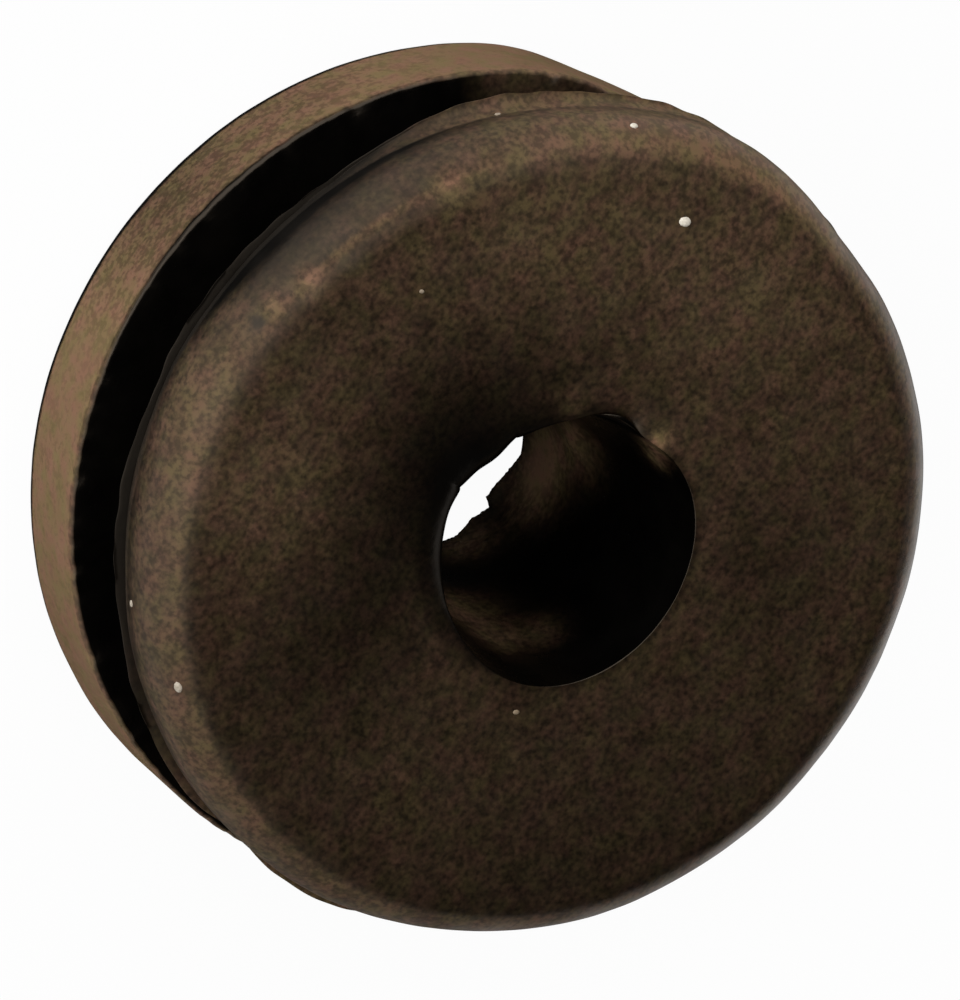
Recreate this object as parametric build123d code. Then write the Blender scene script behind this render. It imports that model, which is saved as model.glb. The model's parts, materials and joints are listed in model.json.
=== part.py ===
from build123d import *
import os

# Rubber panel grommet, moulded in one piece: rear flange, grooved neck, front flange and through bore.
# Millimetres, +Z up. It lies on its rear flange: the origin is the rear face's centre, the bore is along Z.

# Flanges
flange_diameter = 20.0
rear_flange_thickness = 3.2
rear_edge_radius = 0.8
front_flange_thickness = 2.3
front_edge_radius = 1.2
front_edge_wall_share = 0.8

# Square groove that grips the edge of the panel
groove_width = 2.3
groove_depth = 2.0

# Bore for the cable or pipe: a straight land at the rear, then a wall that leans out on one side (+Y)
bore_diameter = 5.2
bore_land = 3.2
bore_lean = 0.85

# Mouth of the bore: rolled on the straight side (-Y), fading to a crisp edge on the leaning side (+Y).
# The section leaves a thin skin on the bore above the land, which the cut for the leaning wall takes away.
mouth_roll_radius = 0.8
mouth_skin = 0.05

# Moulding lip: the thin ring that stands out where the mould parted, with a notch between it and the rim
lip_height = 0.15
lip_thickness = 0.2
notch_height = 0.45
notch_depth = 0.35
notch_edge_radius = 0.5

bore_r = bore_diameter / 2
groove_top = rear_flange_thickness + groove_width
front_face = groove_top + front_flange_thickness


def section_corners():
    """Corners of the half section as (radius, height, corner radius), upwards round the outside."""
    flange_r = flange_diameter / 2
    neck_r = flange_r - groove_depth
    front_rim_r = flange_r - lip_height
    skin_r = bore_r - mouth_skin

    lip_top = groove_top + lip_thickness
    notch_top = lip_top + notch_height
    front_edge = min(front_edge_radius, front_edge_wall_share * (front_face - notch_top))

    return [
        (bore_r, 0, 0),
        (flange_r, 0, rear_edge_radius),
        (flange_r, rear_flange_thickness, 0),
        (neck_r, rear_flange_thickness, 0),
        (neck_r, groove_top, 0),
        (flange_r, groove_top, 0),
        (flange_r, lip_top, 0),
        (front_rim_r - notch_depth, lip_top, 0),
        (front_rim_r, notch_top, notch_edge_radius),
        (front_rim_r, front_face, front_edge),
        (skin_r, front_face, mouth_roll_radius),
        (skin_r, bore_land, 0),
        (bore_r, bore_land, 0),
    ]


def make_ring():
    """The half section, its corners rounded, turned once round the bore's axis."""
    corners = section_corners()
    points = [(radius, height) for radius, height, _ in corners]
    section = make_face(Polyline(*points, close=True))
    for radius, height, corner_radius in corners:
        if corner_radius > 0:
            corner = section.vertices().sort_by_distance((radius, height))[0]
            section = fillet(corner, corner_radius)
    return revolve(Plane.YZ * section, axis=Axis.Z)


def make_leaning_bore():
    """The bore above the land: its wall is straight on the -Y side and leans out on the +Y side."""
    land = Pos(0, 0, bore_land) * Circle(bore_r)
    mouth = Pos(0, bore_lean / 2, front_face) * Circle(bore_r + bore_lean / 2)
    return loft([land, mouth], ruled=True)


grommet = make_ring() - make_leaning_bore()
grommet.label = "grommet"

os.makedirs("parts", exist_ok=True)
export_step(grommet, "parts/grommet.step")
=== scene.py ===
"""Looks of the rubber grommet: its moulded skin as one fine mesh, the dust on it, painted light and shade
in its bloom, a floor and soft light.

Metres and degrees, in the part's own frame: the grommet lies on its rear flange and its bore is along Z.
"""
import json
import math

import bmesh
import bpy
import numpy as np
from mathutils import Matrix, Vector


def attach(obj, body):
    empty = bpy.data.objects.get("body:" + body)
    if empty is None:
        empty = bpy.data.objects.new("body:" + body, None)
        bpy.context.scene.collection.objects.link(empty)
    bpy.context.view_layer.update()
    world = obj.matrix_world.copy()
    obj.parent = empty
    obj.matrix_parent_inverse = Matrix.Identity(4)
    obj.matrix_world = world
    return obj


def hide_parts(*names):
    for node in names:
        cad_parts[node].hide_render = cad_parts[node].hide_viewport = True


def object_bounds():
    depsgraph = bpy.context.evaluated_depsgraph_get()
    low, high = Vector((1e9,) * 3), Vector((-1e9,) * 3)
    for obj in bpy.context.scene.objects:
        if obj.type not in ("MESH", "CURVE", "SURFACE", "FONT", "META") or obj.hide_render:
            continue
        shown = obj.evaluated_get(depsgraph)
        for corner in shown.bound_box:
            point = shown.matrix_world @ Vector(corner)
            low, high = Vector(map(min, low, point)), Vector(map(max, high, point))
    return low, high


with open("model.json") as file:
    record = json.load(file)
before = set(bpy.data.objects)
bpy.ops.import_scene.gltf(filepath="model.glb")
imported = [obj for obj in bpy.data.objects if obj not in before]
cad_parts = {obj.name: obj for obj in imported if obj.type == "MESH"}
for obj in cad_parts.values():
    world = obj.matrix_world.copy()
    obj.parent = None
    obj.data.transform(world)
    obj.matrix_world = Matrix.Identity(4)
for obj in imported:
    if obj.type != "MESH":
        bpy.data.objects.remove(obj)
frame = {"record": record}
cad_low, cad_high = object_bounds()
mounts = {mount["name"]: mount for mount in frame["record"]["mounts"]}

# Overall sizes, from the part
flange_radius = (cad_high.x - cad_low.x) / 2
front_face = cad_high.z
bore_radius = mounts["bore"]["dims"]["r_mm"] / 1000

# Section, as in the part, with the small roundings that a mould leaves in the groove.
# The shoulder is where the rim's bloom fades into the face, in degrees up the rim's rounding.
rear_flange_thickness = 0.0032
rear_edge_radius = 0.0008
front_flange_thickness = 0.0023
front_edge_radius = 0.0012
shoulder_start = 58
shoulder_end = 70
groove_depth = 0.0020
groove_edge_radius = 0.0001
groove_corner_radius = 0.0003
lip_height = 0.00015
lip_thickness = 0.0002
lip_taper = 0.00012
lip_edge_radius = 0.00001
notch_height = 0.00045
notch_depth = 0.00035

# Bore, as in the part: a straight land, then a wall that leans out to a crisp edge on its far side (+Y).
# The mouth is rolled on its near side (-Y), where the face round it is worn into a shallow dish.
bore_land = 0.0032
bore_lean = 0.00085
mouth_roll_radius = 0.0008
mouth_skin = 0.00005
mouth_crisp_radius = 0.00002
dish_depth = 0.00015
dish_radius = 0.0060

# How far the moulding strays from its drawn section. The mould's rear half was a little off, to one side.
mould_shift = 0.00008
mould_shift_side = 320
out_of_round = 0.00004
lip_raggedness = 0.00003
edge_raggedness = 0.00006
edge_nick_reach = 0.0003
flash_height = 0.00025
flash_raggedness = 0.00002
broad_lump_size = 0.0030
broad_lump_height = 0.000015
fine_lump_size = 0.0008
fine_lump_height = 0.000005

# Bumps of the moulding lip, the rim and the rear flange, and into the mouth:
# azimuth, half width in degrees, and height
lip_bumps = [
    (200, 14, 0.00018),
    (226, 12, 0.00018),
    (12, 7, 0.00010),
    (353.5, 5, -0.00022),
    (318, 6, -0.00008),
    (285, 5, -0.00007),
    (250, 14, -0.00012),
]
rim_bumps = [
    (193, 15, 0.00025),
    (168, 8, -0.00008),
    (277, 12, 0.00008),
    (28, 14, -0.00006),
]
rear_bumps = [
    (198, 8, -0.00017),
    (188, 8, -0.00016),
]
mouth_bumps = [
    (252, 15, 0.00029),
    (272, 8, 0.00009),
    (208, 14, -0.00014),
    (286, 12, -0.00009),
    (20, 40, -0.00020),
    (150, 35, -0.00022),
]

# Places where the notch above the lip is filled: azimuth, half width in degrees, and share filled
notch_fill_shares = [
    (197, 22, 1.0),
    (232, 28, 1.0),
    (292, 22, 0.45),
    (8, 20, 0.8),
]

# Torn flash at the bore's rear edge: azimuth, and how far it reaches into the bore
flash_reach = [
    (45, 0.0),
    (62, -0.00006),
    (74, 0.00010),
    (85, -0.00002),
    (88, 0.00022),
    (97, 0.00021),
    (108, 0.00005),
    (121, -0.00022),
    (140, 0.0),
]

# Dents: azimuth, run of the section, share along that run, width and depth
dents = [
    (187, "mouth", 0.6, 0.00040, 0.00022),
    (196, "bore", 0.05, 0.00045, 0.00018),
    (269, "front_edge", 0.75, 0.00018, 0.00008),
    (262, "shoulder", 0.30, 0.00030, 0.00005),
    (255, "shoulder", 0.40, 0.00035, 0.00005),
]

# Dust specks: azimuth, run of the section, share along that run, width, and how pale it is
specks = [
    (197.6, "face", 0.15, 0.00024, 1.0),
    (207.9, "front_edge", 0.50, 0.00018, 0.9),
    (323.9, "front_edge", 0.85, 0.00020, 0.5),
    (312.9, "rim_wall", 0.60, 0.00014, 0.5),
    (248.3, "face", 0.28, 0.00012, 0.2),
    (26.2, "face", 0.91, 0.00014, 0.1),
    (225.2, "notch_side", 0.90, 0.00012, 0.3),
]

# Half sizes of a speck, and how ragged it is, as shares of its width
speck_long_shares = (0.5, 0.7)
speck_short_shares = (0.35, 0.5)
speck_height_share = 0.25
speck_raggedness_share = 0.015

# How much pale brown bloom the rubber's skin has, from none to all, at the start and end of each run. Part
# of it is painted light and shade: the bright rear wall and the lighter rim stand for the light they catch,
# and the rim darker toward the groove and the dark rear edge stand for shade.
bloom_and_light_shares = {
    "rear_face": (0.20, 0.20),
    "rear_edge": (0.00, 0.08),
    "rear_wall": (1.15, 1.20),
    "wall_edge": (1.20, 0.90),
    "groove_edge": (0.60, 0.10),
    "notch_side": (0.00, 0.10),
    "rim_wall": (0.15, 0.29),
    "front_edge": (0.29, 0.34),
    "shoulder": (0.34, 0.15),
    "face_edge": (0.14, 0.155),
    "face": (0.155, 0.155),
    "mouth": (0.08, 0.00),
}
# Painted light: the face's bloom grows toward this azimuth, the side the light comes from, and shrinks on
# the far side
lit_side = 215
lit_side_share = 0.55

# Bloom that the rim, the lip and the rear ledge have in places, partly painted light and shade: the lit
# crescent on the far rim, the lit ledge toward the light, and a darker rim on the near side: azimuth, half
# width in degrees, and share
rim_bloom_and_light_shares = [
    (105, 40, 0.10),
    (180, 20, 0.30),
    (210, 14, 0.13),
    (242, 14, -0.14),
    (262, 12, -0.17),
    (276, 14, 0.05),
    (305, 18, -0.06),
    (0, 18, -0.06),
]
lip_bloom_and_light_shares = [
    (190, 28, 0.45),
    (222, 16, 0.20),
    (5, 25, 0.45),
]
ledge_bloom_and_light_shares = [
    (192, 10, 0.25),
]
ring_bloom_and_light_shares = {
    "rim_wall": rim_bloom_and_light_shares,
    "front_edge": rim_bloom_and_light_shares,
    "ledge_edge": ledge_bloom_and_light_shares,
    "ledge": ledge_bloom_and_light_shares,
    "lip": lip_bloom_and_light_shares,
    "lip_edge": lip_bloom_and_light_shares,
    "notch": lip_bloom_and_light_shares,
    "notch_side": lip_bloom_and_light_shares,
}

# Painted shade round the near side of the mouth: the bloom is taken away there, so the face goes black as
# shade would make it
mouth_shade_side = 270
mouth_shade_half_width = 62
mouth_shade_radius = 0.0032
mouth_shade_edge_radius = 0.0078

# Smears of bloom, many of them painted light and shade: azimuth, run of the section, share along that run,
# width and strength
bloom_and_light_smears = [
    (236.7, "shoulder", 0.80, 0.00035, 0.32),
    (261.0, "shoulder", 0.20, 0.00030, 0.32),
    # Less bloom on the rear wall's upper left, and a painted sheen at its far end
    (263.0, "rear_wall", 0.50, 0.00350, -0.70),
    (238.0, "rear_wall", 0.50, 0.00200, -0.30),
    (214.0, "rear_wall", 0.50, 0.00150, 0.40),
    # A painted highlight and painted shade at the dent in the front edge
    (266.8, "front_edge", 0.85, 0.00022, 0.35),
    (269.7, "front_edge", 0.88, 0.00014, -0.40),
    (8.0, "face", 0.40, 0.00250, 0.03),
    (290.6, "face", 0.21, 0.00200, 0.10),
    (220.6, "face", 0.22, 0.00200, 0.07),
    (182.4, "face", 0.25, 0.00200, 0.08),
    (325.0, "face", 0.54, 0.00220, -0.05),
    (118.5, "face", 0.64, 0.00160, -0.05),
    (212.0, "mouth", 0.25, 0.00035, 0.10),
    # Painted light: lit patches on the bore's wall and land
    (19.0, "bore", 0.84, 0.00090, 0.42),
    (31.0, "bore", 0.55, 0.00060, 0.22),
    (52.0, "bore", 0.50, 0.00050, 0.12),
    (60.0, "land", 0.90, 0.00070, 0.50),
    (170.5, "mouth", 0.10, 0.00022, 0.80),
    # Painted light: another lit patch on the bore's wall and land
    (165.0, "bore", 0.10, 0.00035, 0.55),
    (157.0, "bore", 0.28, 0.00030, 0.35),
    (150.0, "land", 0.05, 0.00080, 0.60),
    (132.0, "land", 0.50, 0.00090, 0.80),
    (114.0, "land", 0.75, 0.00090, 0.90),
]

# Roughness of the skin: clean rubber is satin, and the bloom makes it dull
clean_roughness = 0.28
dull_roughness = 0.55
dull_bloom_share = 0.3

# Places where the rim is smoother than that, or rougher: azimuth, half width in degrees, and share
polish_shares = [
    (120, 52, 0.5),
    (0, 35, -0.5),
    (245, 25, -0.4),
]

# Runs of the section that are torn or ragged, and dull
torn_runs = ["lip", "lip_edge", "notch", "notch_side", "flash"]
torn_roughness = 0.7

# Colours and gloss
rubber_black = (0.0004, 0.0004, 0.0004)
reddish_bloom = (0.232, 0.121, 0.073)
olive_bloom = (0.192, 0.135, 0.058)
gloss_tint = (1.0, 0.82, 0.64)
rubber_ior = 1.45
tan_grit = (0.16, 0.10, 0.045)
pale_grit = (0.90, 0.84, 0.72)
grit_roughness = 0.7
paper_white = (0.85, 0.85, 0.85)
room_grey = (0.02, 0.02, 0.02)

# Grain of the materials: size of its lumps, detail, and the least and the most that it makes of a value.
# It comes from a noise whose values lie in the grain's range.
mottle_grain = (0.0006, 5, 0.7, 1.3)
speckle_grain = (0.00014, 2, 0.4, 1.6)
polish_grain = (0.0009, 4, 0.85, 1.15)
grit_grain = (0.00008, 2, 0.6, 1.0)
grain_range = (0.3, 0.7)

# How far the grain takes the bloom above and below its mean
grain_reach_share = 0.15

# Grain of the bloom's hue and of the rubber's pores: size of its lumps, and detail
hue_grain = (0.0005, 3)
hue_range = (0.35, 0.65)
pore_grain = (0.00022, 4)
pore_depth = 0.00002
pore_strength = 0.5

# Fineness of the mesh
turn_count = 576
wave_count = 48

# Floor, how much of it glows white, and the grommet's foot shadow on it, as the glossy skin mirrors it
floor_half_width = 2.0
floor_glow_share = 0.96
shadow_radius = 0.015
shadow_edge_radius = 0.021

# Lamps: name, azimuth, elevation, width, and brightness, where 1 looks as bright as white paper
lamp_distance = 0.4
lamps = [
    ("key_lamp", 240, 38, 0.70, 2.0),
    ("side_lamp", 320, 36, 0.50, 1.6),
    ("far_lamp", 110, 12, 0.26, 0.3),
]

# Camera, as it stood for the photograph
camera_tilt = 30.85
camera_roll = 126.6
camera_lens = 249.0
camera_distance = 0.1576
face_centre_right = 0.00176
face_centre_down = 0.00103

rim_radius = flange_radius - lip_height
neck_radius = flange_radius - groove_depth
face_radius = rim_radius - front_edge_radius
groove_top = front_face - front_flange_thickness
lip_top = groove_top + lip_thickness
notch_top = lip_top + notch_height
azimuth = np.arange(turn_count) * 2 * math.pi / turn_count


def column(point):
    """A (radius, height) point as two columns with one row for each azimuth."""
    return [np.broadcast_to(value, azimuth.shape)[:, None] for value in point]


def line(start, end, count):
    """Points from start up to, but not at, end."""
    share = np.arange(count) / count
    start_r, start_z = column(start)
    end_r, end_z = column(end)
    return start_r + (end_r - start_r) * share, start_z + (end_z - start_z) * share


def arc(centre, size, start, end, count):
    """Points round an ellipse of half sizes size, from the angle start up to, but not at, end."""
    angle = np.radians(start + (end - start) * np.arange(count) / count)
    centre_r, centre_z = column(centre)
    size_r, size_z = column(size)
    return centre_r + size_r * np.cos(angle), centre_z + size_z * np.sin(angle)


def smooth_step(low, high, value):
    """0 below low, 1 above high, and a smooth rise between them."""
    share = np.clip((value - low) / (high - low), 0, 1)
    return share * share * (3 - 2 * share)


def ring_noise(slowest, fastest, seed):
    """An uneven line round the ring, from -1 to 1, made of waves from slowest to fastest per turn."""
    random = np.random.default_rng(seed)
    waves = np.arange(slowest, fastest + 1)
    phases = random.uniform(0, 2 * math.pi, len(waves))
    heights = random.normal(size=len(waves))
    noise = np.cos(np.outer(azimuth, waves) + phases) @ heights
    return noise / np.abs(noise).max()


def ring_bumps(bumps):
    """Smooth bumps round the ring, each given by its azimuth, its half width in degrees and its height."""
    line_round = np.zeros(turn_count)
    for turn, half_width, height in bumps:
        away = (np.degrees(azimuth) - turn + 180) % 360 - 180
        line_round += height * np.exp(-(away / half_width) ** 2)
    return line_round


def lumps(points, size, seed):
    """Gentle lumps of about one size over the surface, from about -1 to 1."""
    random = np.random.default_rng(seed)
    directions = random.normal(size=(3, wave_count))
    directions /= np.linalg.norm(directions, axis=0)
    phases = random.uniform(0, 2 * math.pi, wave_count)
    waves = np.cos(points @ directions * 2 * math.pi / size + phases)
    return waves.mean(axis=-1) * math.sqrt(wave_count) / 2


def lip_line():
    """Radius of the moulding lip's uneven edge at every azimuth."""
    return flange_radius + ring_bumps(lip_bumps) + lip_raggedness * ring_noise(10, 80, seed=1)


def rear_opening():
    """Radius of the bore's rear edge, with its torn flash, at every azimuth."""
    turns, reaches = zip(*flash_reach)
    flash = np.interp(np.degrees(azimuth), turns, reaches)
    return bore_radius - flash - flash_raggedness * ring_noise(30, 180, seed=3)


def mouth_opening():
    """Radius of the top of the bore's leaning wall at every azimuth, with the mouth's bumps."""
    lean = bore_lean / 2
    wall_r = lean * np.sin(azimuth) + np.sqrt((bore_radius + lean) ** 2 - (lean * np.cos(azimuth)) ** 2)
    return wall_r - ring_bumps(mouth_bumps)


def rear_runs():
    """The rear flange, from the bore's rear edge round to the groove."""
    rear, edge, ledge = rear_edge_radius, groove_edge_radius, rear_flange_thickness
    shift = mould_shift * np.cos(azimuth - math.radians(mould_shift_side))
    wall_r = flange_radius + shift + ring_bumps(rear_bumps)
    nick = edge_raggedness * np.clip(ring_noise(6, 120, seed=2), 0, 1)
    nick_r, nick_z = wall_r - nick, ledge - nick
    reach_r, reach_z = wall_r - edge_nick_reach, ledge - edge_nick_reach
    return {
        "rear_face": line((rear_opening(), 0), (wall_r - rear, 0), 8),
        "rear_edge": arc((wall_r - rear, rear), (rear, rear), -90, 0, 12),
        "rear_wall": line((wall_r, rear), (wall_r, reach_z), 9),
        "wall_edge": line((wall_r, reach_z), (nick_r, nick_z - edge), 3),
        "groove_edge": arc((nick_r - edge, nick_z - edge), (edge, edge), 0, 90, 4),
        "ledge_edge": line((nick_r - edge, nick_z), (reach_r, ledge), 3),
        "ledge": line((reach_r, ledge), (neck_radius + groove_corner_radius, ledge), 5),
    }


def groove_runs():
    """The groove's corners and neck, and the underside of the front flange."""
    corner = groove_corner_radius
    corner_r = neck_radius + corner
    low, high = rear_flange_thickness + corner, groove_top - corner
    return {
        "low_corner": arc((corner_r, low), (corner, corner), 270, 180, 4),
        "neck": line((neck_radius, low), (neck_radius, high), 6),
        "high_corner": arc((corner_r, high), (corner, corner), 180, 90, 4),
        "underside": line((corner_r, groove_top), (lip_line() - lip_taper, groove_top), 8),
    }


def rim_runs():
    """The moulding lip, the notch above it and the front rim, up to the face."""
    lip_r, edge, front = lip_line(), lip_edge_radius, front_edge_radius
    fill = np.minimum(ring_bumps(notch_fill_shares), 1)
    notch_r = (rim_radius - notch_depth) * (1 - fill) + (lip_r - 2 * edge) * fill
    bulge = ring_bumps(rim_bumps)
    rim_r = rim_radius + bulge
    centre, size = (face_radius, front_face - front), (front + bulge, front)
    return {
        "lip": line((lip_r - lip_taper, groove_top), (lip_r, lip_top - edge), 3),
        "lip_edge": arc((lip_r - edge, lip_top - edge), (edge, edge), 0, 90, 2),
        "notch": line((lip_r - edge, lip_top), (notch_r, lip_top), 4),
        "notch_side": arc((notch_r, notch_top), (rim_r - notch_r, notch_height), -90, 0, 8),
        "rim_wall": line((rim_r, notch_top), (rim_r, front_face - front), 4),
        "front_edge": arc(centre, size, 0, shoulder_start, 12),
        "shoulder": arc(centre, size, shoulder_start, shoulder_end, 6),
        "face_edge": arc(centre, size, shoulder_end, 90, 4),
    }


def mouth_runs():
    """The front face with its worn dish, the mouth, and the bore down to its torn rear edge."""
    wall_r = mouth_opening()
    mouth = np.maximum(bore_radius - mouth_skin + mouth_roll_radius, wall_r + mouth_crisp_radius)
    roll_width = mouth - wall_r
    roll_share = np.minimum(roll_width / mouth_roll_radius, 1)
    roll_drop = mouth_crisp_radius + mouth_roll_radius * (1 - np.sqrt(1 - roll_share ** 2))
    wear = dish_depth * ((1 - np.sin(azimuth)) / 2) ** 2
    roll_bottom = front_face - wear - roll_drop

    face_r, face_z = line((face_radius, front_face), (mouth, front_face), 24)
    dish = np.clip((dish_radius - face_r) / (dish_radius - mouth[:, None]), 0, 1) ** 2
    return {
        "face": (face_r, face_z - wear[:, None] * dish),
        "mouth": arc((mouth, roll_bottom), (roll_width, roll_drop), 90, 180, 14),
        "bore": line((wall_r, roll_bottom), (bore_radius, bore_land), 10),
        "land": line((bore_radius, bore_land), (bore_radius, flash_height), 6),
        "flash": line((bore_radius, flash_height), (rear_opening(), 0), 3),
    }


def section_grid(runs):
    """The radii and the heights of all the runs, with a row for each azimuth."""
    radii, heights = zip(*runs.values())
    return np.hstack(radii), np.hstack(heights)


def grid_place(runs, turn, name, share):
    """The row and column of the grid that lie at an azimuth and at a share along a run."""
    names = list(runs)
    counts = [radii.shape[1] for radii, _ in runs.values()]
    run = names.index(name)
    row = round(turn / 360 * turn_count) % turn_count
    return row, sum(counts[:run]) + int(share * counts[run])


def grid_normals(points):
    """Outward normals of a grid of points that closes on itself both ways."""
    along = np.roll(points, -1, axis=1) - np.roll(points, 1, axis=1)
    around = np.roll(points, -1, axis=0) - np.roll(points, 1, axis=0)
    normals = np.cross(around, along)
    return normals / np.linalg.norm(normals, axis=-1, keepdims=True)


def skin_points(runs):
    """The section turned round the axis, with the dents and lumps of the real moulding."""
    radius, height = section_grid(runs)
    stray = out_of_round * ring_noise(2, 5, seed=4)
    radius = radius + stray[:, None] * smooth_step(0, flange_radius, radius)
    around = azimuth[:, None]
    points = np.stack([radius * np.cos(around), radius * np.sin(around), height], axis=-1)

    normals = grid_normals(points)
    push = broad_lump_height * lumps(points, broad_lump_size, seed=5)
    push += fine_lump_height * lumps(points, fine_lump_size, seed=6)
    push *= smooth_step(0, rear_edge_radius, height)
    for turn, name, share, width, depth in dents:
        centre = points[grid_place(runs, turn, name, share)]
        distance = np.linalg.norm(points - centre, axis=-1)
        push -= depth * np.exp(-(distance / width) ** 2)
    return points + normals * push[..., None]


def skin_bloom_and_light(runs, points):
    """How much pale bloom, and painted light and shade, there is at every point of the grid."""
    columns = []
    for name, (radii, _) in runs.items():
        start, end = bloom_and_light_shares.get(name, (0, 0))
        share = np.arange(radii.shape[1]) / radii.shape[1]
        ring = ring_bumps(ring_bloom_and_light_shares.get(name, []))
        columns.append(ring[:, None] + start + (end - start) * smooth_step(0, 1, share))
    bloom_and_light = np.hstack(columns)

    radius, height = section_grid(runs)
    # Painted light: more bloom on the side of the face toward the light, less on the far side
    on_face = smooth_step(front_face - front_edge_radius / 4, front_face, height)
    toward_light = np.cos(azimuth - math.radians(lit_side))[:, None] * radius / flange_radius
    bloom_and_light = bloom_and_light * (1 + lit_side_share * toward_light * on_face)

    # Painted shade: the bloom is taken away round the near side of the mouth
    mouth_shade = ring_bumps([(mouth_shade_side, mouth_shade_half_width, 1)])[:, None]
    bloom_and_light = bloom_and_light * (1 - mouth_shade * (1 - smooth_step(mouth_shade_radius, mouth_shade_edge_radius, radius)))

    # Smears of bloom, with their painted light and shade
    for turn, name, share, width, strength in bloom_and_light_smears:
        distance = np.linalg.norm(points - points[grid_place(runs, turn, name, share)], axis=-1)
        bloom_and_light += strength * np.exp(-(distance / width) ** 2)
    return np.maximum(bloom_and_light, 0)


def skin_roughness(runs, points, bloom_and_light):
    """How rough the skin is at every point of the grid."""
    dull = clean_roughness + (dull_roughness - clean_roughness) * np.clip(bloom_and_light / dull_bloom_share, 0, 1)
    radius = np.linalg.norm(points[..., :2], axis=-1)
    on_rim = smooth_step(face_radius, face_radius + front_edge_radius / 2, radius)
    on_rim *= smooth_step(groove_top, front_face - front_edge_radius, points[..., 2])
    polish = ring_bumps(polish_shares)[:, None]
    torn = np.hstack([np.full(radii.shape, name in torn_runs) for name, (radii, _) in runs.items()])
    return np.where(torn, torn_roughness, dull * (1 - polish * on_rim))


def new_material(name):
    """A material with a node tree, the tree, and its main shader."""
    material = bpy.data.materials.new(name)
    material.use_nodes = True
    tree = material.node_tree
    return material, tree, tree.nodes["Principled BSDF"]


def read_attribute(tree, name):
    """The value that the mesh has under a name."""
    attribute = tree.nodes.new("ShaderNodeAttribute")
    attribute.attribute_name = name
    return attribute.outputs["Fac"]


def add_noise(tree, size, detail):
    """The value of a noise texture whose lumps are about one size."""
    place = tree.nodes.new("ShaderNodeTexCoord")
    noise = tree.nodes.new("ShaderNodeTexNoise")
    noise.inputs["Scale"].default_value = 1 / size
    noise.inputs["Detail"].default_value = detail
    tree.links.new(place.outputs["Object"], noise.inputs["Vector"])
    return noise.outputs["Fac"]


def add_range(tree, value, low, high, to_low, to_high):
    """value, mapped from the range low to high on to the range to_low to to_high."""
    ranged = tree.nodes.new("ShaderNodeMapRange")
    for name, number in (("From Min", low), ("From Max", high), ("To Min", to_low), ("To Max", to_high)):
        ranged.inputs[name].default_value = number
    tree.links.new(value, ranged.inputs["Value"])
    return ranged.outputs["Result"]


def add_grain(tree, grain):
    """A noise that goes from the grain's least to its most, to multiply a value by."""
    size, detail, least, most = grain
    return add_range(tree, add_noise(tree, size, detail), *grain_range, least, most)


def add_math(tree, operation, one, other):
    """Two values put together by a math operation."""
    made = tree.nodes.new("ShaderNodeMath")
    made.operation = operation
    tree.links.new(one, made.inputs[0])
    tree.links.new(other, made.inputs[1])
    return made.outputs["Value"]


def add_mix(tree, share, first, second):
    """A colour between first and second, each a colour or a socket."""
    mix = tree.nodes.new("ShaderNodeMix")
    mix.data_type = "RGBA"
    tree.links.new(share, mix.inputs["Factor"])
    for socket, colour in ((mix.inputs[6], first), (mix.inputs[7], second)):
        if isinstance(colour, tuple):
            socket.default_value = (*colour, 1)
        else:
            tree.links.new(colour, socket)
    return mix.outputs[2]


def bloom_and_light_amount(tree):
    """How much bloom, with its painted light and shade, shows: its share on the skin, broken up by its
    grain.
    """
    bloom_and_light = read_attribute(tree, "bloom_and_light")
    grain = add_math(tree, "MULTIPLY", add_grain(tree, mottle_grain), add_grain(tree, speckle_grain))
    amount = add_math(tree, "MULTIPLY", bloom_and_light, grain)
    least = add_range(tree, bloom_and_light, 0, 1, -grain_reach_share, 1 - grain_reach_share)
    most = add_range(tree, bloom_and_light, 0, 1, grain_reach_share, 1 + grain_reach_share)
    return add_math(tree, "MINIMUM", add_math(tree, "MAXIMUM", amount, least), most)


def rubber_material():
    """Black rubber with a satin skin, a mottled brown bloom that also carries painted light and shade, and
    fine pores.
    """
    material, tree, shader = new_material("rubber")
    hue = add_range(tree, add_noise(tree, *hue_grain), *hue_range, 0, 1)
    bloom_colour = add_mix(tree, hue, reddish_bloom, olive_bloom)
    colour = add_mix(tree, bloom_and_light_amount(tree), rubber_black, bloom_colour)
    tree.links.new(colour, shader.inputs["Base Color"])

    roughness = add_math(tree, "MULTIPLY", read_attribute(tree, "roughness"), add_grain(tree, polish_grain))
    tree.links.new(roughness, shader.inputs["Roughness"])
    shader.inputs["IOR"].default_value = rubber_ior
    shader.inputs["Specular Tint"].default_value = (*gloss_tint, 1)

    bump = tree.nodes.new("ShaderNodeBump")
    bump.inputs["Strength"].default_value = pore_strength
    bump.inputs["Distance"].default_value = pore_depth
    tree.links.new(add_noise(tree, *pore_grain), bump.inputs["Height"])
    tree.links.new(bump.outputs["Normal"], shader.inputs["Normal"])
    return material


def dust_material():
    """Grit, from tan to nearly white, with darker places."""
    material, tree, shader = new_material("dust")
    pale = add_math(tree, "MULTIPLY", read_attribute(tree, "paleness"), add_grain(tree, grit_grain))
    tree.links.new(add_mix(tree, pale, tan_grit, pale_grit), shader.inputs["Base Color"])
    shader.inputs["Roughness"].default_value = grit_roughness
    return material


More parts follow.
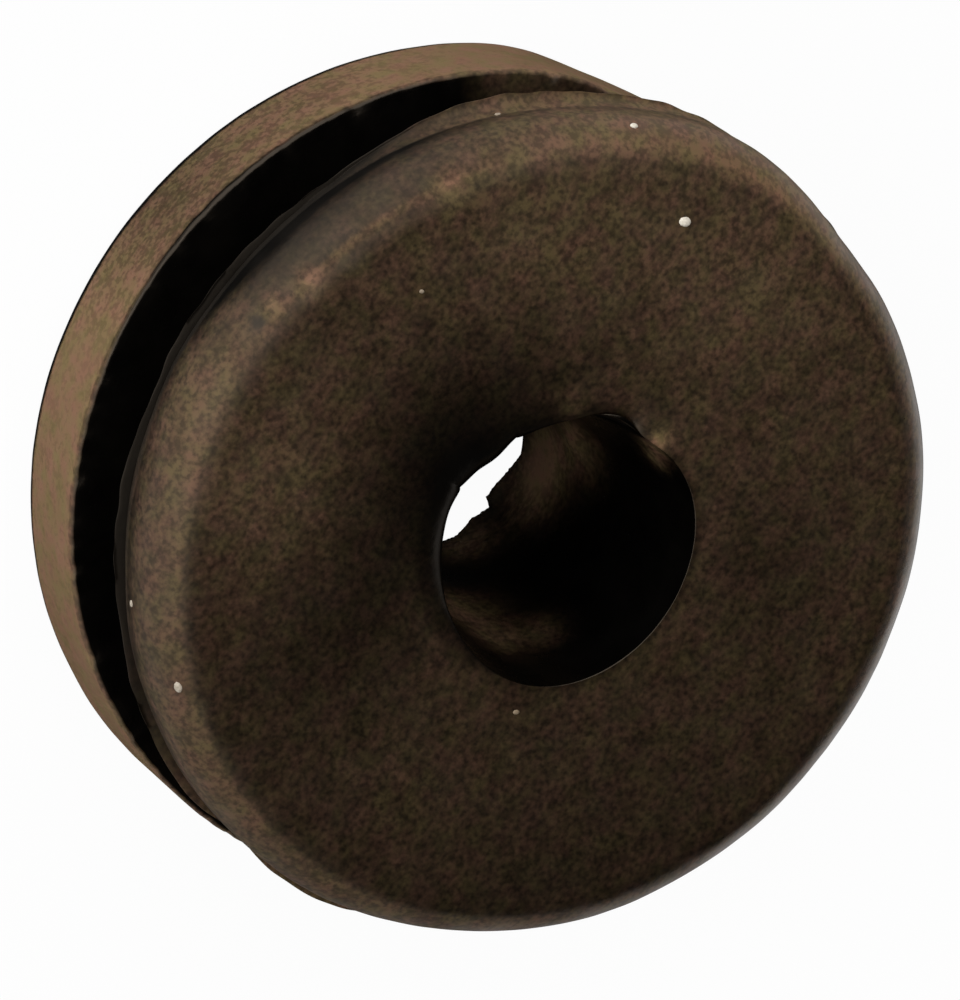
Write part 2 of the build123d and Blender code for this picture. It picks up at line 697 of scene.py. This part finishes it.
def floor_material():
    """White paper: it is white to the eye and in reflections, and takes a pale shadow."""
    material, tree, shader = new_material("floor")
    shader.inputs["Base Color"].default_value = (*paper_white, 1)
    shader.inputs["Roughness"].default_value = 1.0
    shader.inputs["Specular IOR Level"].default_value = 0.0

    place = tree.nodes.new("ShaderNodeNewGeometry")
    distance = tree.nodes.new("ShaderNodeVectorMath")
    distance.operation = "LENGTH"
    tree.links.new(place.outputs["Position"], distance.inputs[0])
    bare = add_range(tree, distance.outputs["Value"], shadow_radius, shadow_edge_radius, 0, 1)

    path = tree.nodes.new("ShaderNodeLightPath")
    mirrored = add_math(tree, "MAXIMUM", path.outputs["Is Glossy Ray"], path.outputs["Is Transmission Ray"])
    seen = add_math(tree, "MAXIMUM", path.outputs["Is Camera Ray"], mirrored)
    glow = tree.nodes.new("ShaderNodeEmission")
    bright = add_math(tree, "MAXIMUM", path.outputs["Is Camera Ray"], bare)
    tree.links.new(bright, glow.inputs["Strength"])
    mix = tree.nodes.new("ShaderNodeMixShader")
    tree.links.new(add_range(tree, seen, 0, 1, 0, floor_glow_share), mix.inputs["Fac"])
    tree.links.new(shader.outputs["BSDF"], mix.inputs[1])
    tree.links.new(glow.outputs["Emission"], mix.inputs[2])
    tree.links.new(mix.outputs["Shader"], tree.nodes["Material Output"].inputs["Surface"])
    return material


def add_object(name, data):
    """A new object in the scene."""
    made = bpy.data.objects.new(name, data)
    bpy.context.scene.collection.objects.link(made)
    return made


def add_attribute(mesh, name, values):
    """A value for every point of the mesh, which its material reads."""
    attribute = mesh.attributes.new(name, "FLOAT", "POINT")
    attribute.data.foreach_set("value", values.astype(np.float32).ravel())


def make_grommet(runs, points):
    """The moulded skin as one closed mesh that stands for the part's solid."""
    turns, count, _ = points.shape
    rows = np.arange(turns)[:, None] * count
    next_rows = np.roll(rows, -1, axis=0)
    here = np.arange(count)[None, :]
    after = np.roll(here, -1)
    faces = np.stack([rows + here, next_rows + here, next_rows + after, rows + after], axis=-1)

    mesh = bpy.data.meshes.new("grommet_skin")
    mesh.from_pydata(points.reshape(-1, 3).tolist(), [], faces.reshape(-1, 4).tolist())
    mesh.shade_smooth()
    bloom_and_light = skin_bloom_and_light(runs, points)
    add_attribute(mesh, "bloom_and_light", bloom_and_light)
    add_attribute(mesh, "roughness", skin_roughness(runs, points, bloom_and_light))
    mesh.materials.append(rubber_material())
    skin = add_object("grommet_skin", mesh)
    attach(skin, "root")
    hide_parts("grommet")


def make_specks(runs, points):
    """Grains of dust that lie on the skin, half sunk in it."""
    normals = grid_normals(points)
    random = np.random.default_rng(7)
    grains = bmesh.new()
    paleness = grains.verts.layers.float.new("paleness")
    for turn, name, share, width, pale in specks:
        place = grid_place(runs, turn, name, share)
        lie = Vector(normals[place]).to_track_quat("Z", "Y").to_matrix().to_4x4()
        long = width * random.uniform(*speck_long_shares)
        short = width * random.uniform(*speck_short_shares)
        squash = Matrix.Diagonal((long, short, width * speck_height_share, 1))
        matrix = Matrix.Translation(Vector(points[place])) @ lie @ squash
        made = bmesh.ops.create_icosphere(grains, subdivisions=3, radius=1, matrix=matrix)
        for vertex in made["verts"]:
            vertex.co += Vector(random.normal(size=3)) * width * speck_raggedness_share
            vertex[paleness] = pale
    mesh = bpy.data.meshes.new("dust_specks")
    grains.to_mesh(mesh)
    grains.free()
    mesh.shade_smooth()
    mesh.materials.append(dust_material())
    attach(add_object("dust_specks", mesh), "root")


def add_floor():
    """A wide white floor under the grommet."""
    half = floor_half_width
    mesh = bpy.data.meshes.new("floor")
    corners = [(-half, -half, 0), (half, -half, 0), (half, half, 0), (-half, half, 0)]
    mesh.from_pydata(corners, [], [(0, 1, 2, 3)])
    mesh.materials.append(floor_material())
    add_object("floor", mesh)


def add_lamp(name, turn, elevation, width, brightness):
    """A round soft lamp that faces the grommet."""
    data = bpy.data.lights.new(name, "AREA")
    data.shape = "DISK"
    data.size = width
    data.energy = brightness * math.pi * math.pi * (width / 2) ** 2
    level = math.cos(math.radians(elevation))
    away = Vector((
        math.cos(math.radians(turn)) * level,
        math.sin(math.radians(turn)) * level,
        math.sin(math.radians(elevation)),
    ))
    place = Matrix.Translation(away * lamp_distance) @ away.to_track_quat("Z", "Y").to_matrix().to_4x4()
    add_object(name, data).matrix_world = place


def add_room():
    """A dim room round the lamps."""
    world = bpy.data.worlds.new("room")
    world.use_nodes = True
    world.node_tree.nodes["Background"].inputs["Color"].default_value = (*room_grey, 1)
    bpy.context.scene.world = world


def add_camera():
    """The camera where it stood for the photograph, turned on its side as it was."""
    tilt = Matrix.Rotation(math.radians(camera_tilt), 4, "X")
    roll = Matrix.Rotation(math.radians(camera_roll), 4, "Z")
    turn = tilt @ roll
    to_face = turn @ Vector((face_centre_right, -face_centre_down, -camera_distance))
    data = bpy.data.cameras.new("camera")
    data.lens = camera_lens
    data.clip_start = camera_distance / 10
    data.clip_end = camera_distance * 100
    camera = add_object("camera", data)
    camera.matrix_world = Matrix.Translation(Vector((0, 0, front_face)) - to_face) @ turn
    bpy.context.scene.camera = camera


bpy.context.scene.view_settings.view_transform = "Standard"
section = {**rear_runs(), **groove_runs(), **rim_runs(), **mouth_runs()}
skin_grid = skin_points(section)
make_grommet(section, skin_grid)
make_specks(section, skin_grid)
add_floor()
for lamp in lamps:
    add_lamp(*lamp)
add_room()
add_camera()
